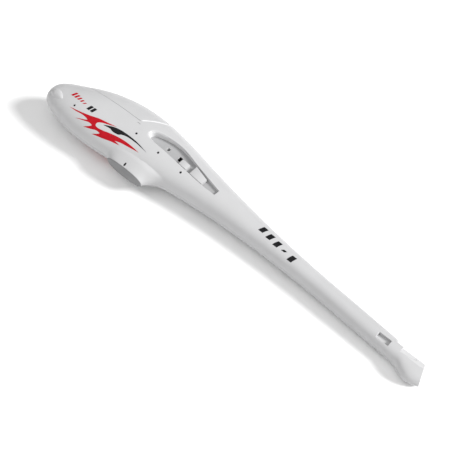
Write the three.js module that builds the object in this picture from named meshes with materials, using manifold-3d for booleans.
// Moulded fuselage of a two-metre electric sailplane: a deep pod with a lift-off hatch, wing-root
// pockets and a belly keel, running aft into a slim boom that ends in a stabiliser seat.
//
// Every piece is drawn in the aircraft's own axes, in millimetres: x is the station, aft from the
// nose face, y is up from the thrust line and z is out to the left. At the end the whole model is
// laid on its right flank, so that z points up from the floor.
import * as THREE from 'three';
import { mergeVertices } from 'three/addons/utils/BufferGeometryUtils.js';
import Module from 'manifold-3d';

const wasm = await Module();
wasm.setup();

// ---- driving dimensions -----------------------------------------------------------------------
// The moulded skin: station, crown height, belly height, half width.
const PROFILE = [
  [0, 20, -20, 20], [5, 28.5, -26.5, 24.5], [14, 37, -32, 29], [30, 47, -38, 33.5],
  [60, 63, -45, 38.5], [100, 84, -50.5, 43], [150, 101, -51.5, 46], [210, 111, -47.5, 47],
  [280, 110.5, -37, 46], [360, 99, -24.5, 42], [440, 83, -14.5, 37], [530, 67, -8, 31.5],
  [640, 50.5, -5.5, 27], [770, 36.5, -8, 24], [900, 27.5, -16, 22], [985, 21.5, -22, 20.8],
  [1012, 19.5, -24.5, 20.2], [1030, 18.5, -33, 19.6], [1047, 17.5, -38, 19], [1065, 16.5, -35.5, 18.2],
  [1084, 15.5, -27, 17.4],
];
const ROUNDNESS = 2.15;        // power of the skin's cross-section, where 2 is an ellipse
const WALL = 1.8;              // moulded skin
const GAP = 0.3;               // between touching pieces
const RING_SIDES = 24;
const RINGS_PER_SPAN = 2;

const NOSE_FACE = 3;           // thickness of the flat ring at the nose
const SHAFT_HOLE_RADIUS = 13;
const MOUNT_THICKNESS = 3;
const MOUNT_BORE_RADIUS = 6;
const MOUNT_SCREW_CIRCLE = 16.5;
const MOUNT_SCREW = { head: 1.6, shank: 6 };   // in front of the nose face, and behind it

const HATCH_SEAM_Y = 52;
const HATCH_OUTLINE = [[59, 130], [61, 62], [70, 55.5], [84, HATCH_SEAM_Y], [238, HATCH_SEAM_Y],
  [257, 71], [279, 90.5], [296, 112], [300, 130]];
const HATCH_WALL = 1.6;
const HATCH_RIB = { thickness: 4, depth: 6, foot: 8 };

// Wing root: outline of the pocket in side view, aft and up.
const POCKET_OUTLINE = [[277, 42], [279, 49], [288, 56], [308, 61.5], [332, 64.8], [356, 64.5],
  [384, 59.5], [410, 53], [440, 46], [492, 34.5], [491, 21], [462, 20], [420, 22.5], [380, 25.5],
  [340, 28.5], [306, 30.8], [288, 33.5], [280, 37]];
const ROOT_PLANE = 27;         // distance of the pocket floor from the middle of the fuselage
const POCKET_WALL = 2.2;
const LOCK_FRONT = [[379, 27], [402, 25.6], [402, 40.5], [379, 42]];
const LOCK_REAR = [[414, 24.6], [452, 21.9], [453, 38.5], [414, 48.5]];
const LOCK_SUNK = 1.5;         // how far the blocks' faces lie under the line of the skin
const LEAD_HOLE = [[363, 38], [376, 37], [376, 49], [363, 50]];
const JOINER = [330, 46.5];
const JOINER_BORE = 4.7;
const JOINER_OUTER = 6;

// Heads seen on each flank: the first two hold the equipment tray, the rest the wing frame.
const FLANK_SCREWS = [[91, -13.5], [217, -18.5], [256.5, 20], [327.5, 16], [398.5, 13]];
const HEAD_RADIUS = 2.5;
const SHANK_RADIUS = 1.4;
const SHANK_LENGTH = 12;
const HEAD_SINK = 1.3;         // depth of the recess that hides a head in the flank
const HEAD_SOCKET = 0.6;       // depth of the dish in a head
// Inside the pod the last three screws on each side hold bars, tied together by two rails.
const FRAME_BAR = 6;           // half thickness of a bar
const FRAME_RAIL = [[251, 12], [404, 5], [404, 15], [251, 24]];
const FRAME_RAIL_SIDES = [-18, 12];
const JOINER_BLOCK = { halfLength: 12, bottom: 14, top: 60 };

const KEEL = {
  x: 287.5, bottom: -54, root: -6, halfLength: 50, halfWidth: 17.5, roundness: 2.5, plate: 1.8,
  frontFlare: 90, rearFlare: 64, sideFlare: 21,
};
const KEEL_OVERLAP = 6;        // how far the hollow of the keel reaches up into the pod
const KEEL_VENT = { x: 285, y: -46, halfLength: 2.6, halfHeight: 4 };
const FINGER_NOTCH = { x: 240, y: 44.4, length: 9, height: 2.4, depth: 1.2 };
const SCOOP = { x: 31, y: -12, halfLength: 26, halfHeight: 12, proud: 5, inlet: 3.4 };

// Equipment bay: two ring formers under the hatch with a tray between them, and two ribs in the
// hatch. A magnet on each former faces one on each rib.
const FORMER_STATIONS = [91, 217];
const FORMER_THICKNESS = 8;
const FORMER_TOP = 46;
const FORMER_RIM = 11;         // width left around the window of a former
const MAGNET_RADIUS = 4;
const MAGNET_HEIGHT = 2.6;
const TRAY = { top: -12, thickness: 3, halfWidth: 28 };
const STRAP_SLOT = { stations: [122, 182], side: 23, halfLength: 8, halfWidth: 2 };

const SEAT_Y = 9;
const SEAT_START = 990;
const CHEEK_START = 1010;
const PLUG_START = 987.8;      // a web of the plug closes the boom in front of the seat
const SERVO_SLOT = { x: 970, y: -4, length: 30, height: 13, floor: 13, wall: 2 };
const INSERT_STATIONS = [1004, 1048];
const INSERT_RADIUS = 3;
const INSERT_DEPTH = 12;

// Each half of the skin is made in four lengths: nose and bay, wing root, boom and tail.
const SKIN_JOINTS = [266, 500, 940];
const SKIN_LENGTHS = ['pod', 'root', 'boom', 'tail'];

// How far the tail end drops, as an angle, when the pod and the tail both touch the floor.
const LYING_TILT = Math.atan((46 - 20.2) / (1012 - 280));

// ---- materials --------------------------------------------------------------------------------
const finish = (color, roughness, metalness = 0) =>
  new THREE.MeshStandardMaterial({ color, roughness, metalness });
const SHELL = finish('#eceded', 0.38);
const MOULDED = finish('#e4e5e6', 0.5);
const PLYWOOD = finish('#cda877', 0.75);
const STEEL = finish('#3a3b3d', 0.4, 0.9);
const BRASS = finish('#c39a45', 0.35, 0.9);
const MAGNET = finish('#c9cbcd', 0.25, 0.95);

// ---- solids: closed meshes in and out of manifold -----------------------------------------------
function solid(geometry) {
  const bare = geometry.index ? geometry.clone() : geometry;
  bare.deleteAttribute('normal');
  bare.deleteAttribute('uv');
  const merged = mergeVertices(bare, 1e-4);
  return new wasm.Manifold(new wasm.Mesh({
    numProp: 3,
    vertProperties: new Float32Array(merged.attributes.position.array),
    triVerts: new Uint32Array(merged.index.array),
  }));
}

function geometryOf(body) {
  const mesh = body.getMesh();
  const geometry = new THREE.BufferGeometry();
  geometry.setAttribute('position', new THREE.BufferAttribute(mesh.vertProperties, 3));
  geometry.setIndex(new THREE.BufferAttribute(mesh.triVerts, 1));
  return geometry;
}

function mirrored(geometry) {
  const copy = geometry.clone().scale(1, 1, -1);
  const index = copy.index.array;
  for (let i = 0; i < index.length; i += 3) {
    [index[i], index[i + 1]] = [index[i + 1], index[i]];
  }
  return copy;
}

const box = (x0, x1, y0, y1, z0, z1) => solid(
  new THREE.BoxGeometry(x1 - x0, y1 - y0, z1 - z0).translate((x0 + x1) / 2, (y0 + y1) / 2, (z0 + z1) / 2));

// A rod along z at a station and height, from z0 to z1.
const pin = (x, y, z0, z1, radius, sides = 16) => solid(
  new THREE.CylinderGeometry(radius, radius, z1 - z0, sides).rotateX(Math.PI / 2)
    .translate(x, y, (z0 + z1) / 2));

// A rod along the thrust line, from station x0 to x1.
const axle = (x0, x1, y, z, radius, sides = 20) => solid(
  new THREE.CylinderGeometry(radius, radius, x1 - x0, sides).rotateZ(Math.PI / 2)
    .translate((x0 + x1) / 2, y, z));

// A rod along y.
const post = (x, z, y0, y1, radius, sides = 12) => solid(
  new THREE.CylinderGeometry(radius, radius, y1 - y0, sides).translate(x, (y0 + y1) / 2, z));

// A side-view outline, given as [station, height] points, extruded from z0 to z1.
function slab(points, z0, z1) {
  const shape = new THREE.Shape(points.map(([x, y]) => new THREE.Vector2(x, y)));
  return solid(new THREE.ExtrudeGeometry(shape, { depth: z1 - z0, bevelEnabled: false })
    .translate(0, 0, z0));
}

// The same outline with every point moved out along its own normal.
function grown(points, margin) {
  const clockwise = THREE.ShapeUtils.isClockWise(points.map(([x, y]) => new THREE.Vector2(x, y)));
  const side = clockwise ? -1 : 1;
  return points.map(([x, y], i) => {
    const before = points[(i + points.length - 1) % points.length];
    const after = points[(i + 1) % points.length];
    const into = new THREE.Vector2(x - before[0], y - before[1]).normalize();
    const out = new THREE.Vector2(after[0] - x, after[1] - y).normalize();
    const along = into.add(out).normalize();
    return [x + side * along.y * margin, y - side * along.x * margin];
  });
}

// ---- the moulded skin ---------------------------------------------------------------------------
const smooth = (points) => new THREE.CatmullRomCurve3(points, false, 'catmullrom', 0.5);
const HEIGHTS = smooth(PROFILE.map(([x, crown, belly]) => new THREE.Vector3(x, crown, belly)));
const WIDTHS = smooth(PROFILE.map(([x, , , half]) => new THREE.Vector3(x, half, 0)));
const SPANS = PROFILE.length - 1;

function sectionAt(t) {
  const heights = HEIGHTS.getPoint(t);
  return { x: heights.x, crown: heights.y, belly: heights.z, half: WIDTHS.getPoint(t).y };
}

// The curves are parametric, so the section at a given station is found by halving.
function sectionAtStation(x) {
  let low = 0;
  let high = 1;
  for (let i = 0; i < 40; i += 1) {
    const middle = (low + high) / 2;
    if (sectionAt(middle).x < x) low = middle;
    else high = middle;
  }
  return sectionAt(low);
}

// Distance of the skin from the middle plane at a station and height.
function flankAt(x, y) {
  const { crown, belly, half } = sectionAtStation(x);
  const rise = Math.abs((2 * y - crown - belly) / (crown - belly));
  return half * (1 - rise ** ROUNDNESS) ** (1 / ROUNDNESS);
}

// A solid filling the skin, drawn in by inset, from station x0 to x1. It is a cylinder whose rings
// are moved to the sections of the fuselage.
function filling(inset, x0 = -Infinity, x1 = Infinity) {
  const rings = SPANS * RINGS_PER_SPAN;
  const geometry = new THREE.CylinderGeometry(1, 1, 1, RING_SIDES, rings);
  const place = geometry.attributes.position;
  const power = (value) => Math.sign(value) * Math.abs(value) ** (2 / ROUNDNESS);
  for (let i = 0; i < place.count; i += 1) {
    const { x, crown, belly, half } = sectionAt(place.getY(i) + 0.5);
    const reach = Math.hypot(place.getX(i), place.getZ(i));
    const cosine = reach > 0 ? place.getX(i) / reach : 0;
    const sine = reach > 0 ? place.getZ(i) / reach : 0;
    place.setXYZ(i,
      Math.min(Math.max(x, x0), x1),
      (crown + belly) / 2 + reach * ((crown - belly) / 2 - inset) * power(sine),
      reach * (half - inset) * power(cosine));
  }
  return solid(geometry);
}

// The keel under the pod: rings of a boat-shaped plan that flare up into the belly, further at the
// front than at the back.
function keel(inset, bottom) {
  const geometry = new THREE.CylinderGeometry(1, 1, 1, RING_SIDES, 4);
  const place = geometry.attributes.position;
  const power = (value) => Math.sign(value) * Math.abs(value) ** (2 / KEEL.roundness);
  for (let i = 0; i < place.count; i += 1) {
    const level = place.getY(i) + 0.5;
    const reach = Math.hypot(place.getX(i), place.getZ(i));
    const cosine = reach > 0 ? place.getX(i) / reach : 0;
    const sine = reach > 0 ? place.getZ(i) / reach : 0;
    const flare = cosine < 0 ? KEEL.frontFlare : KEEL.rearFlare;
    const length = KEEL.halfLength + flare * level - inset;
    const width = KEEL.halfWidth + KEEL.sideFlare * level - inset;
    place.setXYZ(i,
      KEEL.x + reach * length * power(cosine),
      bottom + level * (KEEL.root - bottom),
      reach * width * power(sine));
  }
  return solid(geometry);
}

const FAR = 200;                // reaches past the whole fuselage across and upwards
const END = 1120;               // a station behind the tail
const outside = filling(0);
const behindFace = (margin) => box(NOSE_FACE + margin, END, -FAR, FAR, -FAR, FAR);
const inside = filling(WALL).intersect(behindFace(0));
const snug = filling(WALL + GAP).intersect(behindFace(GAP));
const slice = (x0, x1, y0 = -FAR, y1 = FAR) => box(x0, x1, y0, y1, -FAR, FAR);
const around = (feature, z0, margin = 0) => box(
  feature.x - feature.length / 2 - margin, feature.x + feature.length / 2 + margin,
  feature.y - feature.height / 2 - margin, feature.y + feature.height / 2 + margin, z0, FAR);

const oval = ({ x, y, halfLength, halfHeight }, z0) => solid(
  new THREE.CylinderGeometry(1, 1, FAR, 16).rotateX(Math.PI / 2)
    .scale(halfLength, halfHeight, 1).translate(x, y, z0 + FAR / 2));

// What is cut away at the tail: the flat seat, the raked end of the boom and two slanted cheeks,
// each given across the boom as half width and height.
const CHEEK = [[12.5, SEAT_Y + 1], [18.5, -4.5], [30, -4.5], [30, SEAT_Y + 1]];
const cheek = (side) => solid(new THREE.ExtrudeGeometry(
  new THREE.Shape(CHEEK.map(([z, y]) => new THREE.Vector2(-side * z, y))),
  { depth: END - CHEEK_START, bevelEnabled: false })
  .rotateY(Math.PI / 2).translate(CHEEK_START, 0, 0));
const tailCuts = [
  slice(SEAT_START, END, SEAT_Y),
  slab([[1064, 5], [1082, -39], [1082, -FAR], [END, -FAR], [END, FAR], [1064, FAR]], -FAR, FAR),
  cheek(1),
  cheek(-1),
];

const mountScrews = [1, 3, 5, 7].map((eighth) => ({
  y: MOUNT_SCREW_CIRCLE * Math.sin(eighth * Math.PI / 4),
  z: MOUNT_SCREW_CIRCLE * Math.cos(eighth * Math.PI / 4),
}));
const cutMountScrews = (body) => mountScrews.reduce(
  (left, { y, z }) => left.subtract(axle(-5, 20, y, z, SHANK_RADIUS + GAP, 12)), body);
const cutFlankShanks = (body) => FLANK_SCREWS.reduce(
  (left, [x, y]) => left.subtract(pin(x, y, -FAR, FAR, SHANK_RADIUS + GAP, 12)), body);

// ---- the left half of the fuselage ----------------------------------------------------------------
function fuselageHalf() {
  const floor = KEEL.bottom + KEEL.plate + GAP;
  const keelHollow = keel(WALL, floor + WALL)
    .subtract(slice(0, END, KEEL.root - KEEL_OVERLAP, FAR));
  let body = outside.add(keel(0, floor)).subtract(inside.add(keelHollow));
  // Tubs behind the wing pocket and the servo pocket, joined to the skin and then hollowed.
  body = body.add(slab(grown(POCKET_OUTLINE, POCKET_WALL), ROOT_PLANE - POCKET_WALL, FAR)
    .intersect(outside));
  body = body.add(around(SERVO_SLOT, SERVO_SLOT.floor - SERVO_SLOT.wall, SERVO_SLOT.wall)
    .intersect(outside));
  const cuts = [
    slab(POCKET_OUTLINE, ROOT_PLANE, FAR),
    slab(LEAD_HOLE, 0, FAR),
    pin(...JOINER, 0, FAR, JOINER_OUTER + GAP),
    around(SERVO_SLOT, SERVO_SLOT.floor),
    oval(KEEL_VENT, 0),
    around(FINGER_NOTCH, flankAt(FINGER_NOTCH.x, FINGER_NOTCH.y) - FINGER_NOTCH.depth),
    slab(grown(HATCH_OUTLINE, GAP), -FAR, FAR),
    axle(-5, 10, 0, 0, SHAFT_HOLE_RADIUS),
    axle(SCOOP.x - 12, SCOOP.x, SCOOP.y, flankAt(SCOOP.x, SCOOP.y), SCOOP.inlet + 2),
    ...FLANK_SCREWS.map(([x, y]) => pin(x, y, flankAt(x, y) - HEAD_SINK, FAR, HEAD_RADIUS + GAP, 12)),
    ...tailCuts,
  ];
  body = cuts.reduce((left, cut) => left.subtract(cut), body);
  return cutFlankShanks(cutMountScrews(body)).intersect(box(-20, END, -FAR, FAR, GAP / 2, FAR));
}

// ---- pieces ---------------------------------------------------------------------------------------
const pieces = [];
function add(name, material, geometry) {
  const mesh = new THREE.Mesh(geometry, material);
  mesh.name = name;
  pieces.push(mesh);
}
const addSolid = (name, material, body) => add(name, material, geometryOf(body));
function addPair(name, material, body) {
  const geometry = geometryOf(body);
  add(`${name}_left`, material, geometry);
  add(`${name}_right`, material, mirrored(geometry));
}

const leftHalf = fuselageHalf();
SKIN_LENGTHS.forEach((name, i) => {
  const from = i > 0 ? SKIN_JOINTS[i - 1] + GAP / 2 : -FAR;
  const to = i < SKIN_JOINTS.length ? SKIN_JOINTS[i] - GAP / 2 : END;
  addPair(`${name}_shell`, SHELL, leftHalf.intersect(slice(from, to)));
});

function coolingScoop() {
  const bump = new THREE.SphereGeometry(1, 20, 12)
    .scale(SCOOP.halfLength, SCOOP.halfHeight, SCOOP.proud + 6).rotateZ(-0.17)
    .translate(SCOOP.x, SCOOP.y, flankAt(SCOOP.x, SCOOP.y) - 6);
  const inlet = axle(-20, SCOOP.x - 4, SCOOP.y, flankAt(SCOOP.x - 14, SCOOP.y) + 2.4, SCOOP.inlet, 12);
  return solid(bump).subtract(filling(-GAP)).subtract(inlet);
}
addPair('cooling_scoop', SHELL, coolingScoop());

function motorMount() {
  const plate = snug.intersect(slice(NOSE_FACE + GAP, NOSE_FACE + GAP + MOUNT_THICKNESS));
  return cutMountScrews(plate.subtract(axle(0, 20, 0, 0, MOUNT_BORE_RADIUS)));
}
addSolid('motor_mount', MOULDED, motorMount());

mountScrews.forEach(({ y, z }, i) => {
  const head = axle(-GAP - MOUNT_SCREW.head, -GAP, y, z, HEAD_RADIUS, 12);
  const shank = axle(-MOUNT_SCREW.head, MOUNT_SCREW.shank, y, z, SHANK_RADIUS, 12);
  addSolid(`mount_screw_${i + 1}`, STEEL, head.add(shank));
});

// Hatch: the crown of the pod, with a thinner wall, and a rib behind each end of it.
addSolid('canopy_hatch', SHELL,
  outside.subtract(filling(HATCH_WALL)).intersect(slab(HATCH_OUTLINE, -FAR, FAR)));

['front', 'rear'].forEach((end, i) => {
  const x = FORMER_STATIONS[i];
  const across = (thickness, y0, y1) => slice(x - thickness / 2, x + thickness / 2, y0, y1);
  const rib = filling(HATCH_WALL + GAP)
    .intersect(across(HATCH_RIB.thickness, HATCH_SEAM_Y + GAP, FAR));
  const arch = filling(HATCH_WALL + GAP + HATCH_RIB.depth)
    .intersect(slice(0, END, HATCH_SEAM_Y + HATCH_RIB.foot, FAR));
  addSolid(`hatch_rib_${end}`, PLYWOOD, rib.subtract(arch));

  const former = snug.intersect(across(FORMER_THICKNESS, -FAR, FORMER_TOP));
  const window = filling(WALL + GAP + FORMER_RIM)
    .intersect(slice(0, END, TRAY.top + FORMER_THICKNESS, FORMER_TOP - FORMER_THICKNESS));
  addSolid(`tray_former_${end}`, PLYWOOD, cutFlankShanks(former.subtract(window)));

  const top = FORMER_TOP + GAP + MAGNET_HEIGHT;
  addSolid(`former_magnet_${end}`, MAGNET, post(x, 0, FORMER_TOP + GAP, top, MAGNET_RADIUS));
  addSolid(`hatch_magnet_${end}`, MAGNET,
    post(x, 0, HATCH_SEAM_Y - MAGNET_HEIGHT, HATCH_SEAM_Y, MAGNET_RADIUS));
});

function equipmentTray() {
  const ends = FORMER_STATIONS.map((x, i) => x + (i ? -1 : 1) * (FORMER_THICKNESS / 2 + GAP));
  const plate = box(...ends, TRAY.top - TRAY.thickness, TRAY.top, -TRAY.halfWidth, TRAY.halfWidth);
  const { stations, side, halfLength, halfWidth } = STRAP_SLOT;
  const slots = [-side, side].flatMap((z) => stations.map((x) => box(
    x - halfLength, x + halfLength, -FAR, FAR, z - halfWidth, z + halfWidth)));
  return slots.reduce((left, slot) => left.subtract(slot), plate);
}
addSolid('equipment_tray', PLYWOOD, equipmentTray());

// Wing frame: a bar across the pod behind each of the last three flank screws, two rails that tie
// the bars together, and a block that holds the wing joiner's sleeve between the pocket floors.
function wingFrame() {
  const bars = FLANK_SCREWS.slice(2).map(([x, y]) => slice(
    x - FRAME_BAR, x + FRAME_BAR, y - FRAME_BAR, y + FRAME_BAR));
  const rails = FRAME_RAIL_SIDES.map((z) => slab(FRAME_RAIL, z, z + FRAME_BAR));
  const reach = ROOT_PLANE - POCKET_WALL - GAP;
  const { halfLength, bottom, top } = JOINER_BLOCK;
  const block = box(JOINER[0] - halfLength, JOINER[0] + halfLength, bottom, top, -reach, reach);
  const frame = [...bars, ...rails, block].reduce((left, bar) => left.add(bar));
  return cutFlankShanks(frame.intersect(snug)).subtract(pin(...JOINER, -FAR, FAR, JOINER_OUTER + GAP));
}
addSolid('wing_frame', MOULDED, wingFrame());
addSolid('wing_joiner_sleeve', MOULDED, pin(...JOINER, -ROOT_PLANE, ROOT_PLANE, JOINER_OUTER)
  .subtract(pin(...JOINER, -FAR, FAR, JOINER_BORE)));
const lockBlock = (outline) => slab(outline, ROOT_PLANE + GAP, FAR).intersect(filling(LOCK_SUNK));
addPair('wing_lock_front', MOULDED, lockBlock(LOCK_FRONT));
addPair('wing_lock_rear', MOULDED, lockBlock(LOCK_REAR));

FLANK_SCREWS.forEach(([x, y], i) => {
  const face = flankAt(x, y);
  const head = pin(x, y, face - HEAD_SINK + GAP, face - GAP, HEAD_RADIUS, 12);
  const shank = pin(x, y, face - SHANK_LENGTH, face - HEAD_SOCKET, SHANK_RADIUS, 12);
  addPair(`flank_screw_${i + 1}`, STEEL, head.add(shank));
});

addSolid('keel_plate', MOULDED,
  keel(0, KEEL.bottom).intersect(slice(0, END, -FAR, KEEL.bottom + KEEL.plate)));

function tailPlug() {
  const block = snug.intersect(slice(PLUG_START, END));
  const sockets = INSERT_STATIONS.map((x) => post(x, 0, SEAT_Y - INSERT_DEPTH - GAP, FAR,
    INSERT_RADIUS + GAP));
  return [...tailCuts, ...sockets].reduce((left, cut) => left.subtract(cut), block);
}
addSolid('tail_plug', MOULDED, tailPlug());
['front', 'rear'].forEach((end, i) => {
  const x = INSERT_STATIONS[i];
  addSolid(`seat_insert_${end}`, BRASS, post(x, 0, SEAT_Y - INSERT_DEPTH, SEAT_Y, INSERT_RADIUS)
    .subtract(post(x, 0, -FAR, FAR, SHANK_RADIUS)));
});

// ---- laid on its right flank, with the middle of its footprint at the origin ------------------------
const fuselage = new THREE.Group();
fuselage.add(...pieces);
fuselage.rotation.y = LYING_TILT;
const lying = new THREE.Group();
lying.add(fuselage);
lying.updateMatrixWorld(true);
const extent = new THREE.Box3().setFromObject(lying, true);
const middle = extent.getCenter(new THREE.Vector3());
lying.position.set(-middle.x, -middle.y, -extent.min.z);
export default lying;
